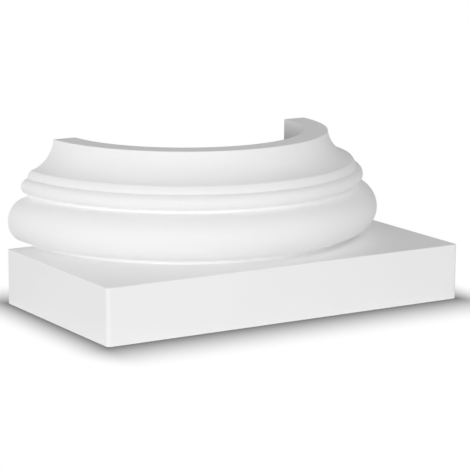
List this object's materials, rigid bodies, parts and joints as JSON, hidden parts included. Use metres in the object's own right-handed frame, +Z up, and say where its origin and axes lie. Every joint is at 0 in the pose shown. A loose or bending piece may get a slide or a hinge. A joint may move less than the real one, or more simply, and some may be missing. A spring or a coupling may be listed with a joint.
{
  "type": "half column base",
  "caption": "Half column base: a rectangular plinth under half-round torus, bead, fillet and cavetto mouldings, with a half-round hollow for the shaft and a flat back for the wall.",
  "frame": {"origin": "middle of the underside, at the centre of the plinth's rectangle", "axes": "+Z up, the shaft's axis upright at y = +0.0922 m in the plane of the wall; -Y is the front, +Y is towards the wall, +X is to the right as seen from the front"},
  "size_m": [0.36, 0.1844, 0.1452],
  "materials": {
    "white_primer": "rigid moulding foam with a satin-matt white factory primer, ready for paint"
  },
  "bodies": {
    "root": {"half_column_base": "white_primer"}
  },
  "joints": []
}
